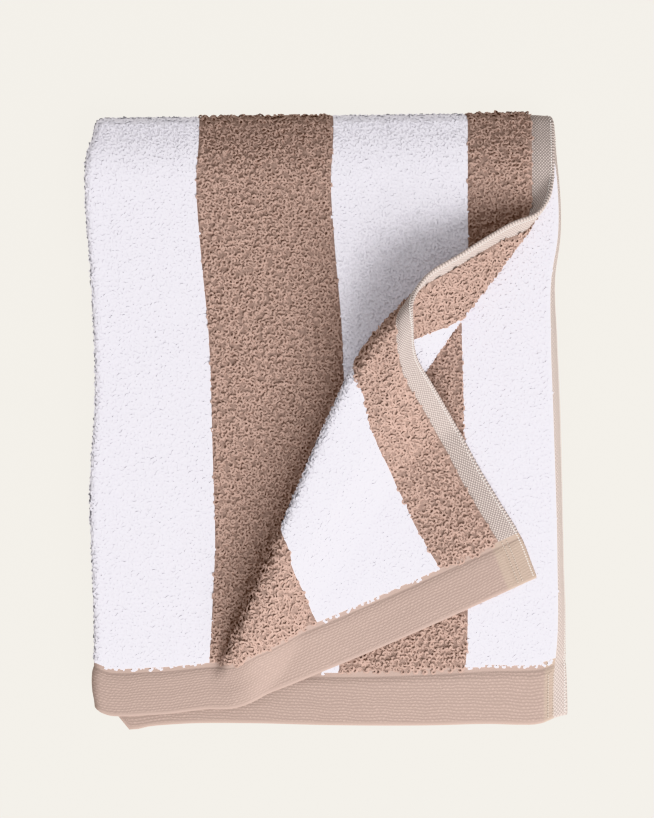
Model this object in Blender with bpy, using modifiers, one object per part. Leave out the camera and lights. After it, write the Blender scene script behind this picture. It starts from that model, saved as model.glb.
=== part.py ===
"""Striped terry hand towel, folded in half across its width and in three along its length, with its
front right corner pushed over in a soft diagonal pleat. One sheet of cloth, so one solid.

The cloth is a flat triangulated sheet in its own coordinates: u across the width from the upper
layer's long edge, v along the length from the end that lies on top. Every point is then carried to
its place in the folded towel, and a Solidify modifier gives the sheet its thickness, pile included.
Lengths are in millimetres and angles in degrees, up to the last step of folded().
"""

import bpy
import numpy as np
from mathutils import Vector
from mathutils.geometry import delaunay_2d_cdt

MM = 0.001

# The cloth.
WIDTH = 497.0
THICKNESS = 3.8
PITCH = 4.6  # from one layer's middle to the next one's

# The folded towel: X to the right, Y away from the front ends, Z up.
RIGHT_EDGE = 117.0
FRONT_END = -155.5
LEFT_FOLD = 244.6  # u of the middle of the fold across the width
FOLD_ARC = np.pi * PITCH / 2
UPPER_REACH = LEFT_FOLD - FOLD_ARC / 2
LEFT_X = RIGHT_EDGE - UPPER_REACH
PLAN_CENTRE = (-1.17, 0.15)  # of the folded towel's outline, which the origin lies under

# The run of the doubled cloth along its length, seen from its side, as straight and curved sections.
RUN = (
    # section, length, turn in degrees, steps
    ("upper third", 279.7, 0, 11),
    ("shoulder", 22.0, -26, 4),
    ("slope", 8.0, 0, 1),
    ("back fold", 14.16, -154, 8),
    ("lowest third", 295.9, 0, 7),
    ("front fold", np.pi * PITCH, -180, 8),
    ("middle third", 265.8, 0, 7),
)
LENGTH = sum(row[1] for row in RUN)
TOP_END = sum(row[1] for row in RUN[:3])  # v where the back fold begins
TURNED_UNDER = sum(row[1] for row in RUN[:4])  # v where the lowest third begins
RUN_STEP = 0.25

# How far the cloth lies from an even fold.
STRIPE_DRIFT = (
    # Y, shift of the upper layer's stripes to the right
    (-156, 2.0),
    (-128, 4.1),
    (-60, 7.2),
    (-20, 6.0),
    (45, 3.8),
    (92, -0.6),
    (124, -2.6),
    (150, -1.2),
)
STRIPE_DRIFT_REACH = (20.0, 130.0)  # u, from none of it to all of it
LEFT_DRIFT = (
    # Y, shift of the fold at the left
    (-156, 5.5),
    (-142, 4.4),
    (-127, 5.6),
    (-85, 5.0),
    (-38, 3.6),
    (15, 6.2),
    (82, 3.6),
    (118, 1.0),
    (140, 1.8),
    (154, 5.6),
)
LEFT_DRIFT_FROM = 183.0  # u of the upper layer, where it starts
LEFT_DRIFT_BELOW = (260.0, 370.0)  # u of the second layer, where it fades
LOWER_EDGE_DRIFT = (
    # Y, shift of the second layer's right edge
    (-156, -0.6),
    (-132, -0.4),
    (-114, 1.0),
    (-73, 1.0),
    (0, -1.0),
    (43, -2.4),
    (73, -2.2),
    (95, 1.2),
    (125, 0.6),
    (145, -2.0),
    (156, -3.5),
)
LOWER_EDGE_REACH = (378.0, 470.0)
HEM_DROOP = (
    # Y, degrees that the second layer's long hem hangs down
    (-156, 10),
    (-140, 22),
    (-120, 52),
    (-95, 62),
    (45, 68),
    (80, 82),
    (130, 88),
)
HANG_ENDS = (TOP_END - 26, TOP_END + 4)  # v, where the long hem stops hanging
HIDDEN_EDGE = (
    # Y, how far the hidden layers reach past the right edge
    (-156, -5.2),
    (114, -5.2),
)
HIDDEN_LEFT = (
    # Y, how much further in they start at the left
    (-156, 7.5),
    (-142, 5.0),
    (-126, 2.0),
    (-100, 1.5),
)
HIDDEN_INSET = 1.0  # how much further in their lower strand ends
FRONT_DRIFT = (
    # u, shift of the front end towards the back
    (0, -1.5),
    (120, 0.0),
    (140, 1.1),
    (150, 2.1),
    (160, 3.5),
    (170, 4.9),
    (181, 5.7),
    (192, 4.6),
    (204, 3.2),
    (216, 2.6),
    (230, 2.0),
    (237, 2.6),
    (241, 4.2),
    (244.6, 6.4),
    (249.2, 6.0),
    (254, 4.5),
    (257.5, 1.8),
    (260.7, -4.2),
    (264, -5.2),
    (272, -3.7),
    (288, -2.3),
    (330, -1.8),
    (373, -2.8),
    (427, -2.9),
    (458, -2.2),
    (474, -2.6),
    (481, -2.4),
    (485.5, -1.4),
    (490, 0.6),
    (497, 2.4),
)
FRONT_DRIFT_REACH = 110.0
BACK_SKEW = 0.0115  # the back fold runs this much out of square
BACK_SKEW_REACH = (-60.0, 150.0)
HEM_GATHER = 0.5  # how much of its width the lower strand's hem keeps inside the back fold
HEM_SPREAD = 40.0  # v past the back fold, over which it opens again
HEM_BEND = (489.0, 3.0)  # u where the second layer's hem bends down, and the length of the bend

# The pleat, in polar coordinates about a point in the front band, angles clockwise from +Y.
APEX = (-63.4, -140.4)
FLAP_TURN = 23.6  # how far the flap lies round from its flat place
LOWER_CREASE = (34.3, 34.8)  # angle of the crease beneath, near and far
LOWER_CREASE_REACH = (180.0, 270.0)
ROLL_REACH = (150.0, 238.0)  # where the flat pleat opens into a roll, and where it is fully open
APEX_REACH = 34.0  # the radius within which the pleat fades out towards the apex
CREASE_SWERVE = (11.0, 8.0, 42.0)  # how far round the crease swings there, and the radii between
APEX_SOFTNESS = 2.0  # how much wider its turns are there
LOWER_RADIUS = (3.5, 4.2)  # near and far
CREST_RADIUS = (3.6, 10.5)
STEP_RADIUS = (5.0, 10.5)
LANDING_RADIUS = (7.0, 12.0)
LIFT = (180.0, 138.0)  # heading of the face between the two creases, near and far
DROP = (35.0, 41.0)  # how steeply the flap comes down again
CREASE_CLEARANCE = 2.0  # how far past the lower crease the flap stays level
TURNED_OVER = (60.0, 150.0)  # headings between which the lifted face comes to lie over the layer below
SLACK = 14.0  # extra cloth in the roll
SLACK_REACH = (155.0, 215.0)
SLACK_FADE = (62.0, 86.0)  # the angles over which the flap's corner leaves the slack
FLAP_FROM = (28.0, 48.0)  # the angles over which the cloth leaves the stripes' drift
FLAP_NEAR = 50.0  # the radius within which it doesn't
FLAP_SHIFT = (
    # angle about the apex, shift of the flap's long edge to the right and towards the back
    (34.3, 0.0, 0.0),
    (36.4, 5.0, -6.0),
    (38.5, 5.2, -4.4),
    (40.0, 5.8, -4.3),
    (44.0, 6.5, -5.6),
    (47.0, 5.8, -5.8),
    (51.0, -1.8, -2.8),
    (57.5, -8.2, -2.6),
    (63.0, -6.4, -1.5),
    (70.0, -4.7, -0.6),
    (76.0, -4.3, -0.3),
    (82.0, -2.3, 0.7),
    (88.0, 0.0, 2.0),
    (95.0, -0.6, 1.8),
)
FLAP_SHIFT_FADES = (4.0, 1.4)  # how fast the shift fades away from the edge, near the crest and past it
FLAP_SHIFT_TURNS = (50.0, 55.0)
SWELL = (
    # distance past the crest of the pleat, height by which the upper layer swells
    (-30.0, 0.0),
    (-18.0, 2.0),
    (-8.0, 5.2),
    (0.0, 8.4),
    (8.0, 9.4),
    (20.0, 7.6),
    (45.0, 3.2),
    (90.0, 0.0),
)
SWELL_ANGLE = 22.8  # of the crest about the apex
SWELL_REACH = (8.0, 70.0, 170.0, 240.0)  # the radii between which the swell grows, and fades
BAND_BLEND = (100.0, 182.0)  # the angles over which the front band bends back to straight
PLEAT_STEPS = (6, 2, 9, 2, 4, 5, 4)  # steps in each of the pleat's seven sections
PLEAT_RINGS = (
    # radii of the pleat's points
    *(14, 22, 31, 41, 52, 65, 80, 95, 110, 125, 140),
    *(154, 168, 182, 196, 210, 224, 238, 252, 268, 284, 300),
)
PLEAT_END = 330  # a radius past the long edge

CLOTH_COLUMNS = (
    *(0, 11, 40, 70, 98, 125, 140, 154, 168, 183, 204, 224, 236),
    *(252, 256, 260.5, 265, 285, 310, 340, 378, 412, 444, 470, 480),
)
HEM_COLUMNS = (486, 489, 490, 491, 492, 494.5, WIDTH)
FOLD_STEPS = 7
LEAST_SPACING = 3.0
NEARLY_ONE = 0.4  # distance under which two of the pleat's points are made one
CLEAR_OF_PLEAT = 7.0
PLEAT_FROM = 12.0  # v, below which the front band only bends

PILE_BROWN = (0.39, 0.26, 0.2, 1.0)
ROUGHNESS = 0.95


def eased(value, start, end):
    """0 before start, 1 past end and a smooth rise between."""
    share = np.clip((value - start) / (end - start), 0, 1)
    return share * share * (3 - 2 * share)


def between(pair, share):
    return pair[0] + (pair[1] - pair[0]) * share


def through(value, rows):
    """A smooth curve through a table's rows, level past its ends."""
    places, heights = np.array(rows, float).T
    slopes = np.gradient(heights, places)
    slopes[[0, -1]] = 0
    value = np.clip(value, places[0], places[-1])
    row = np.clip(np.searchsorted(places, value) - 1, 0, len(places) - 2)
    step = places[row + 1] - places[row]
    share = (value - places[row]) / step
    return (
        heights[row] * (1 + 2 * share) * (1 - share) ** 2
        + slopes[row] * step * share * (1 - share) ** 2
        + heights[row + 1] * share**2 * (3 - 2 * share)
        - slopes[row + 1] * step * share**2 * (1 - share)
    )


def run_at(v):
    """Y, Z and heading of the doubled cloth's middle at v along its length."""
    lengths = np.array([row[1] for row in RUN])
    turns = np.radians([row[2] for row in RUN])
    starts = np.concatenate([[0], np.cumsum(lengths)])
    headings = np.concatenate([[0], np.cumsum(turns)])
    along = np.arange(0, LENGTH + RUN_STEP, RUN_STEP)
    heading = np.interp(along, starts, headings)
    middle = (heading[1:] + heading[:-1]) / 2
    y = FRONT_END + np.concatenate([[0], np.cumsum(np.cos(middle) * RUN_STEP)])
    z = np.concatenate([[0], np.cumsum(np.sin(middle) * RUN_STEP)])
    z += (THICKNESS + PITCH) / 2 - z.min()
    return np.interp(v, along, y), np.interp(v, along, z), np.interp(v, along, heading)


def pleat_sections(rho):
    """Start of the pleat and the length and turn of each of its sections, along a circle of radius
    rho about the apex: a turn over, a lifted face, a turn back at the crest, a level stretch, and a
    step down to the layer below, which is a turn, a slope and a turn back to level. The lifted face
    is as long as makes the flap lie FLAP_TURN round from its flat place. Near the apex there is too
    little cloth for the whole turn, so it goes only part of the way."""
    far = eased(rho, *ROLL_REACH)
    grown = eased(rho, 0, APEX_REACH)
    soft = APEX_SOFTNESS * (1 - grown)
    lower, crest = between(LOWER_RADIUS, far) + soft, between(CREST_RADIUS, far) + soft
    edge, landing = between(STEP_RADIUS, far), between(LANDING_RADIUS, far)
    lift, drop = np.radians(between(LIFT, far)), np.radians(between(DROP, far))
    taken = np.radians(FLAP_TURN) * rho * grown + SLACK * eased(rho, *SLACK_REACH)

    def turns_take(lift, drop):
        rise = (lower + crest) * (1 - np.cos(lift)) - (edge + landing) * (1 - np.cos(drop))
        bends = (lower + crest) * (lift - np.sin(lift)) + (edge + landing) * (drop - np.sin(drop))
        return bends + np.tan(drop / 2) * rise

    least, most = np.zeros_like(rho), np.ones_like(rho)
    for _ in range(24):
        middle = (least + most) / 2
        over = turns_take(middle * lift, middle * drop) > taken
        least, most = np.where(over, least, middle), np.where(over, middle, most)
    lift, drop = lift * most, drop * most
    face = (taken - turns_take(lift, drop)) / (1 - np.cos(lift) + np.tan(drop / 2) * np.sin(lift))
    face = np.maximum(face, 0)
    rise = (lower + crest) * (1 - np.cos(lift)) + face * np.sin(lift)
    slope = np.maximum((rise - (edge + landing) * (1 - np.cos(drop))) / np.sin(drop), 0)
    crease = np.radians(between(LOWER_CREASE, eased(rho, *LOWER_CREASE_REACH)))
    crease = crease - np.radians(CREASE_SWERVE[0]) * (1 - eased(rho, *CREASE_SWERVE[1:]))
    start = rho * crease - (lower + THICKNESS / 2) * np.sin(np.minimum(lift, np.pi / 2))
    over = face + (lower + CREASE_CLEARANCE) * eased(np.degrees(lift), *TURNED_OVER)
    none = np.zeros_like(rho)
    lengths = (lower * lift, face, crest * lift, over * (1 - far), edge * drop, slope, landing * drop)
    return start, lengths, (lift, none, -lift, none, -drop, none, drop)


def pleated(rho, angle):
    """Where the pleat carries a flat place: its angle about the apex and its height."""
    begin, lengths, turns = pleat_sections(rho)
    along = rho * angle - begin
    heading = np.zeros_like(rho)
    done = np.zeros_like(rho)
    taken = np.zeros_like(rho)
    height = np.zeros_like(rho)
    for length, turn in zip(lengths, turns):
        part = np.clip(along - done, 0, length)
        bend = turn / np.maximum(length, 1e-9)
        bends = np.abs(turn) > 1e-9
        divisor = np.where(bends, bend, 1)
        end = heading + bend * part
        forward = (np.sin(end) - np.sin(heading)) / divisor
        upward = (np.cos(heading) - np.cos(end)) / divisor
        taken += part - np.where(bends, forward, np.cos(heading) * part)
        height += np.where(bends, upward, np.sin(heading) * part)
        heading = heading + turn
        done = done + length
    slack = SLACK * eased(rho, *SLACK_REACH) * eased(np.degrees(angle), *SLACK_FADE)
    return angle - (taken - slack) / np.maximum(rho, 1e-6), height


def front_shift(u, v):
    """How far the cloth's front part lies towards the back, by FRONT_DRIFT."""
    return through(u, FRONT_DRIFT) * eased(FRONT_DRIFT_REACH - v, 0, FRONT_DRIFT_REACH)


def upper_layer(u, flat_y):
    """X, Y and added height of the layer on top, which the pleat crosses: its polar place about the
    apex is turned as pleated() says, and back into X and Y."""
    flat_x = RIGHT_EDGE - u
    east, north = flat_x - APEX[0], flat_y - APEX[1]
    rho = np.hypot(east, north)
    angle = np.arctan2(east, north)
    placed, height = pleated(rho, angle)
    straight = eased(np.degrees(angle), *BAND_BLEND)
    placed = placed + (angle - placed) * straight
    height = height * (1 - straight)
    reach = np.sqrt(np.maximum(rho**2 - height**2, 0))
    swell = through(rho * (placed - np.radians(SWELL_ANGLE)), SWELL)
    swell = swell * eased(rho, *SWELL_REACH[:2]) * (1 - eased(rho, *SWELL_REACH[2:]))
    height = height + swell * (1 - straight)
    flap = eased(np.degrees(angle), *FLAP_FROM) * (1 - straight) * eased(rho, 0, FLAP_NEAR)
    drift = through(flat_y, STRIPE_DRIFT) * eased(u, *STRIPE_DRIFT_REACH) * (1 - flap)
    drift += (through(flat_y, LEFT_DRIFT) - drift) * eased(u, LEFT_DRIFT_FROM, UPPER_REACH)
    angles, right, back = zip(*FLAP_SHIFT)
    fades = between(FLAP_SHIFT_FADES, eased(np.degrees(angle), *FLAP_SHIFT_TURNS))
    share = np.maximum(1 - u / (RIGHT_EDGE - APEX[0]), 0) ** fades
    right = through(np.degrees(angle), list(zip(angles, right))) * share
    back = through(np.degrees(angle), list(zip(angles, back))) * share
    x = APEX[0] + reach * np.sin(placed) + drift + right
    y = APEX[1] + reach * np.cos(placed) + back
    return x, y, height


def hem_hang(u, y):
    """How far in and down the second layer's long hem hangs, for its distance past the bend."""
    past = np.maximum(u - HEM_BEND[0], 0)
    droop = np.radians(through(y, HEM_DROOP))
    radius = HEM_BEND[1] / droop
    turned = np.minimum(past, HEM_BEND[1]) / radius
    rest = np.maximum(past - HEM_BEND[1], 0)
    return past - radius * np.sin(turned) - rest * np.cos(droop), (
        radius * (1 - np.cos(turned)) + rest * np.sin(droop)
    )


def folded(u, v):
    """World places, in metres, of points of the cloth: the run gives Y and Z along the length, the
    fold across the width gives X and which strand, and the pleat moves the top layer."""
    y, z, heading = run_at(v)
    round_fold = np.clip((u - UPPER_REACH) / FOLD_ARC, 0, 1) * np.pi
    offset = np.cos(round_fold) * PITCH / 2
    upper, lower = u < UPPER_REACH, u > UPPER_REACH + FOLD_ARC
    hidden = eased(v, TOP_END, TURNED_UNDER)

    left = through(y, LEFT_DRIFT) + through(y, HIDDEN_LEFT) * hidden
    drift = through(y, STRIPE_DRIFT) * eased(u, *STRIPE_DRIFT_REACH) * (1 - hidden)
    drift += (left - drift) * eased(u, LEFT_DRIFT_FROM, UPPER_REACH)
    hidden_edge = through(y, HIDDEN_EDGE) * hidden
    upper_x = RIGHT_EDGE - u + drift + hidden_edge * np.maximum(1 - u / UPPER_REACH, 0)
    past_fold = u - UPPER_REACH - FOLD_ARC
    hang_in, hang_down = hem_hang(u, y)
    hang = 1 - eased(v, *HANG_ENDS)
    gathered = np.maximum(u - HEM_BEND[0], 0) * (1 - HEM_GATHER)
    gathered = gathered * (1 - hang) * (1 - eased(v, TURNED_UNDER, TURNED_UNDER + HEM_SPREAD))
    edge = through(y, LOWER_EDGE_DRIFT) * eased(u, *LOWER_EDGE_REACH) * (1 - hidden)
    left_share = left * (1 - eased(u, *LEFT_DRIFT_BELOW))
    shown_x = LEFT_X + left_share + past_fold + edge - hang_in * hang - gathered
    full = WIDTH - UPPER_REACH - FOLD_ARC
    hidden_x = LEFT_X + left + past_fold * (UPPER_REACH + hidden_edge - HIDDEN_INSET - left) / full
    lower_x = shown_x + (hidden_x - shown_x) * hidden
    fold_x = LEFT_X + left - np.sin(round_fold) * PITCH / 2
    x = np.where(upper, upper_x, np.where(lower, lower_x, fold_x))

    y = y + front_shift(u, v) * (1 - hidden)
    top_x, top_y, lifted = upper_layer(u, y)
    on_top = upper & (v < TOP_END)
    x = np.where(on_top, top_x, x)
    y = np.where(on_top, top_y, y)
    y = y + x * BACK_SKEW * eased(y, *BACK_SKEW_REACH) - np.sin(heading) * offset
    sink = hang_down * hang * lower
    z = z + np.cos(heading) * offset + np.where(on_top, lifted, 0) - sink
    return np.stack([x - PLAN_CENTRE[0], y - PLAN_CENTRE[1], z], axis=-1) * MM


def pleat_lines():
    """The pleat's lines in the flat cloth, from near the apex out to the long edge."""
    rho = np.array(PLEAT_RINGS, float)
    fine = np.arange(PLEAT_RINGS[0], PLEAT_END, 1.0)
    lines = []
    for number in range(sum(PLEAT_STEPS) + 1):
        line = [line_place(np.array([radius]), number) for radius in rho]
        inside = [place for place in line if place[0] > LEAST_SPACING]
        dense = np.array([line_place(np.array([radius]), number) for radius in fine])
        crossing = np.argmax(dense[:, 0] < 0)
        if crossing:
            v = np.interp(0, -dense[crossing - 1 : crossing + 1, 0], dense[crossing - 1 : crossing + 1, 1])
            inside.append((0.0, v))
        lines.append([place for place in inside if place[1] > PLEAT_FROM])
    return lines


def line_place(rho, number):
    """u and v of the numbered pleat line at a radius."""
    start, lengths, _ = pleat_sections(rho)
    along = start[0]
    for length, steps in zip(lengths, PLEAT_STEPS):
        along += length[0] * min(max(number, 0), steps) / steps
        number -= steps
    angle = along / rho[0]
    return flat_place(rho[0] * np.sin(angle), rho[0] * np.cos(angle))


def flat_place(east, north):
    """u and v of a place of the upper layer given from the apex."""
    u, v = RIGHT_EDGE - APEX[0] - east, APEX[1] - FRONT_END + north
    return u, v - front_shift(u, v)


def cloth_rows():
    """v of each row of the sheet: every section of the run in equal steps."""
    rows = [0.0]
    for _, length, _, steps in RUN:
        rows += [rows[-1] + length * (step + 1) / steps for step in range(steps)]
    return rows


def merged(places, edges):
    """The places with near twins made one, and the edges between what is left."""
    every = np.array(places)
    near = [np.hypot(*(every[: number + 1] - place).T) < NEARLY_ONE for number, place in enumerate(every)]
    first = [int(np.argmax(close)) for close in near]
    kept = sorted(set(first))
    number = {old: new for new, old in enumerate(kept)}
    edges = [(number[first[one]], number[first[two]]) for one, two in edges if first[one] != first[two]]
    return [places[old] for old in kept], edges


def flat_sheet():
    """The cloth laid flat as a triangulated mesh: rows and columns of points, with the pleat's own
    lines in place of those that it crosses."""
    arc = [UPPER_REACH + FOLD_ARC * step / FOLD_STEPS for step in range(FOLD_STEPS + 1)]
    columns = list(CLOTH_COLUMNS) + arc + list(HEM_COLUMNS)
    places = []
    edges = []
    for line in pleat_lines():
        edges += [(len(places) + step, len(places) + step + 1) for step in range(len(line) - 1)]
        places += line
    places.append(flat_place(0.0, 0.0))
    places, edges = merged(places, edges)
    pleat = np.array(places)
    for v in cloth_rows():
        for u in columns:
            near = np.hypot(pleat[:, 0] - u, pleat[:, 1] - v).min() < CLEAR_OF_PLEAT
            if not (near or crossed_by_pleat(u, v)):
                places.append((u, v))
    flat = [Vector((u, v)) for u, v in places]
    points, _, faces, _, _, _ = delaunay_2d_cdt(flat, edges, [], 0, 1e-5)
    return np.array([point[:] for point in points]), faces


def crossed_by_pleat(u, v):
    """Whether a place of the flat cloth lies between the pleat's first line and its last."""
    east, north = RIGHT_EDGE - u - APEX[0], FRONT_END + v + front_shift(u, v) - APEX[1]
    rho = np.hypot(east, north)
    if rho < PLEAT_RINGS[0] or u > UPPER_REACH or v > TOP_END or v < PLEAT_FROM:
        return False
    start, lengths, _ = pleat_sections(np.array([rho]))
    along = rho * np.arctan2(east, north) - start[0]
    return 0 < along < sum(length[0] for length in lengths)


def cloth_material():
    material = bpy.data.materials.new("striped_terry")
    material.use_nodes = True
    shader = material.node_tree.nodes["Principled BSDF"]
    shader.inputs["Base Color"].default_value = PILE_BROWN
    shader.inputs["Roughness"].default_value = ROUGHNESS
    shader.inputs["Metallic"].default_value = 0
    material.diffuse_color = PILE_BROWN
    return material


def towel(collection):
    """The folded sheet, given its thickness evenly to both sides."""
    flat, faces = flat_sheet()
    mesh = bpy.data.meshes.new("towel")
    mesh.from_pydata(folded(flat[:, 0], flat[:, 1]).tolist(), [], faces)
    mesh.materials.append(cloth_material())
    cloth = bpy.data.objects.new("towel", mesh)
    collection.objects.link(cloth)
    shell = cloth.modifiers.new("thickness", "SOLIDIFY")
    shell.thickness = THICKNESS * MM
    shell.offset = 0
    shell.use_quality_normals = True
    return cloth


def main():
    for thing in list(bpy.data.objects):
        bpy.data.objects.remove(thing)
    collection = bpy.data.collections.new("hand_towel")
    bpy.context.scene.collection.children.link(collection)
    towel(collection)


main()
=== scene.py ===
"""Striped terry hand towel, folded in half across its width and in three along its length, with its
front right corner pushed over in a soft diagonal pleat.

The cloth is one closed sheet. Every point of it is worked out from its place in the flat cloth: u
across the width from the upper layer's long edge, v along the length from the end that lies on top.
The pile is real loops of yarn that stand on the sheet, and the stitches are small beads of thread.
Lengths in the fold's own functions are in millimetres and angles in degrees.
"""

import bpy
import numpy as np
from bpy.props import FloatProperty, FloatVectorProperty, IntProperty, PointerProperty
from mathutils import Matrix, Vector
from mathutils.bvhtree import BVHTree


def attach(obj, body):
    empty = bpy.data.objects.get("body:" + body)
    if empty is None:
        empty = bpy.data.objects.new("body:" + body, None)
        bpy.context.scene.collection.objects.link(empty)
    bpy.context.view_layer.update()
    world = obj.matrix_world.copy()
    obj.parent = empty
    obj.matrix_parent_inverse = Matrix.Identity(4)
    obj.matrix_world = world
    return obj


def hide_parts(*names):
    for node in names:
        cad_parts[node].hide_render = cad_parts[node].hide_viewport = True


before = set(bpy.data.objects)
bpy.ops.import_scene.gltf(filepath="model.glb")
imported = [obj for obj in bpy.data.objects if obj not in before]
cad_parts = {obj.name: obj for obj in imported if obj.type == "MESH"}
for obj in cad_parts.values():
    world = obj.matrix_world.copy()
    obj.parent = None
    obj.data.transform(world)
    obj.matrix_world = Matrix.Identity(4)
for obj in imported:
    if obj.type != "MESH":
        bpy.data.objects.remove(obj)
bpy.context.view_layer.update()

bl_info = {
    "name": "Folded striped hand towel",
    "version": (1, 0, 0),
    "blender": (4, 5, 0),
    "location": "3D View > Sidebar > Hand Towel",
    "description": "Makes a folded terry hand towel with real pile loops, end bands and stitched hems",
    "category": "Object",
}

MM = 0.001

# The cloth.
WIDTH = 497.0
THICKNESS = 3.8
PITCH = 4.6  # from one layer's middle to the next one's
BAND = 24.5  # width of the flat woven band at each end
HEM = 11.0  # width of the turned hem along each side
BACK_BAND = (
    # u, width of the end band on the second face
    (372.0, 26.8), (447.0, 29.0), (491.0, 30.5),
)
BACK_HEM = 7.0  # width of the side hem on the second face
STRIPES = (
    # u where the stripe ends, colour
    (44.0, "brown"), (113.0, "white"), (183.0, "brown"), (248.0, "white"), (313.0, "brown"),
    (378.0, "white"), (444.0, "brown"), (WIDTH - HEM, "white"),
)

# The folded towel: X to the right, Y away from the front ends, Z up.
RIGHT_EDGE = 117.0
FRONT_END = -155.5
LEFT_FOLD = 244.6  # u of the middle of the fold across the width
FOLD_ARC = np.pi * PITCH / 2
UPPER_REACH = LEFT_FOLD - FOLD_ARC / 2
LEFT_X = RIGHT_EDGE - UPPER_REACH
PLAN_CENTRE = (-1.17, 0.15)  # of the folded towel's outline, which the origin lies under

# The run of the doubled cloth along its length, seen from its side, as straight and curved sections.
RUN = (
    # section, length, turn in degrees
    ("upper third", 279.7, 0),
    ("shoulder", 22.0, -26),
    ("slope", 8.0, 0),
    ("back fold", 14.16, -154),
    ("lowest third", 295.9, 0),
    ("front fold", np.pi * PITCH, -180),
    ("middle third", 265.8, 0),
)
RUN_ENDS = [float(end) for end in np.cumsum([row[1] for row in RUN])]
LENGTH = RUN_ENDS[-1]
TOP_END, TURNED_UNDER = RUN_ENDS[2:4]  # v where the back fold and the lowest third begin
FRONT_TURN = RUN_ENDS[4:6]  # v of the front fold
RUN_STEP = 0.25  # of the sum along the run

# How far the cloth lies from an even fold.
STRIPE_DRIFT = (
    # Y, shift of the upper layer's stripes to the right
    (-156, 2.0), (-128, 4.1), (-60, 7.2), (-20, 6.0), (45, 3.8), (92, -0.6), (124, -2.6), (150, -1.2),
)
STRIPE_DRIFT_REACH = (20.0, 130.0)  # u, from none of it to all of it
LEFT_DRIFT = (
    # Y, shift of the fold at the left
    (-156, 5.5), (-142, 4.4), (-127, 5.6), (-85, 5.0), (-38, 3.6), (15, 6.2), (82, 3.6), (118, 1.0),
    (140, 1.8), (154, 5.6),
)
LEFT_DRIFT_FROM = 183.0  # u of the upper layer, where it starts
LEFT_DRIFT_BELOW = (260.0, 370.0)  # u of the second layer, where it fades
LOWER_EDGE_DRIFT = (
    # Y, shift of the second layer's right edge
    (-156, -0.6), (-132, -0.4), (-114, 1.0), (-73, 1.0), (0, -1.0), (43, -2.4), (73, -2.2), (95, 1.2),
    (125, 0.6), (145, -2.0), (156, -3.5),
)
LOWER_EDGE_REACH = (378.0, 470.0)  # u, from none of it to all of it
HEM_DROOP = (
    # Y, degrees that the second layer's long hem hangs down
    (-156, 10), (-140, 22), (-120, 52), (-95, 62), (45, 68), (80, 82), (130, 88),
)
HANG_ENDS = (TOP_END - 26, TOP_END + 4)  # v, where the long hem stops hanging
HIDDEN_EDGE = -5.2  # how far the hidden layers reach past the right edge
HIDDEN_LEFT = (
    # Y, how much further in they start at the left
    (-156, 7.5), (-142, 5.0), (-126, 2.0), (-100, 1.5),
)
HIDDEN_INSET = 1.0  # how much further in their lower strand ends
FRONT_DRIFT = (
    # u, shift of the front end towards the back
    (0, -1.5), (120, 0.0), (140, 1.1), (150, 2.1), (160, 3.5), (170, 4.9), (181, 5.7), (192, 4.6),
    (204, 3.2), (216, 2.6), (230, 2.0), (237, 2.6), (241, 4.2), (244.6, 6.4), (249.2, 6.0), (254, 4.5),
    (257.5, 1.8), (260.7, -4.2), (264, -5.2), (272, -3.7), (288, -2.3), (330, -1.8), (373, -2.8),
    (427, -2.9), (458, -2.2), (474, -2.6), (481, -2.4), (485.5, -1.4), (490, 0.6), (497, 2.4),
)
FRONT_DRIFT_REACH = 110.0  # v where it has faded
BACK_SKEW = 0.0115  # the back fold runs this much out of square
BACK_SKEW_REACH = (-60.0, 150.0)
HEM_GATHER = 0.5  # how much of its width the lower strand's hem keeps inside the back fold
HEM_SPREAD = 40.0  # v past the back fold, over which it opens again
HEM_BEND = (489.0, 3.0)  # u where the second layer's hem bends down, and the length of the bend

# The pleat, in polar coordinates about a point in the front band, angles clockwise from +Y.
APEX = (-63.4, -140.4)
FLAP_TURN = 23.6  # how far the flap lies round from its flat place
LOWER_CREASE = (34.3, 34.8)  # angle of the crease beneath, near and far
LOWER_CREASE_REACH = (180.0, 270.0)
ROLL_REACH = (150.0, 238.0)  # where the flat pleat opens into a roll, and where it is fully open
APEX_REACH = 34.0  # the radius within which the pleat fades out towards the apex
CREASE_SWERVE = (11.0, 8.0, 42.0)  # how far round the crease swings there, and the radii between
APEX_SOFTNESS = 2.0  # how much wider its turns are there
LOWER_RADIUS = (3.5, 4.2)  # near and far
CREST_RADIUS = (3.6, 10.5)
STEP_RADIUS = (5.0, 10.5)
LANDING_RADIUS = (7.0, 12.0)
LIFT = (180.0, 138.0)  # heading of the face between the two creases, near and far
DROP = (35.0, 41.0)  # how steeply the flap comes down again
HALVINGS = 24  # of the range in which the turns that the cloth allows are looked for
CREASE_CLEARANCE = 2.0  # how far past the lower crease the flap stays level
TURNED_OVER = (60.0, 150.0)  # headings between which the lifted face comes to lie over the layer below
SLACK = 14.0  # extra cloth in the roll
SLACK_REACH = (155.0, 215.0)
SLACK_FADE = (62.0, 86.0)  # the angles over which the flap's corner leaves the slack
FLAP_FROM = (28.0, 48.0)  # the angles over which the cloth leaves the stripes' drift
FLAP_NEAR = 50.0  # the radius within which it doesn't
FLAP_SHIFT = (
    # angle about the apex, shift of the flap's long edge to the right and towards the back
    (34.3, 0.0, 0.0), (36.4, 5.0, -6.0), (38.5, 5.2, -4.4), (40.0, 5.8, -4.3), (44.0, 6.5, -5.6),
    (47.0, 5.8, -5.8), (51.0, -1.8, -2.8), (57.5, -8.2, -2.6), (63.0, -6.4, -1.5), (70.0, -4.7, -0.6),
    (76.0, -4.3, -0.3), (82.0, -2.3, 0.7), (88.0, 0.0, 2.0), (95.0, -0.6, 1.8),
)
FLAP_SHIFT_FADES = (4.0, 1.4)  # how fast the shift fades away from the edge, near the crest and past it
FLAP_SHIFT_TURNS = (50.0, 55.0)  # the angles between which the one gives way to the other
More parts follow.
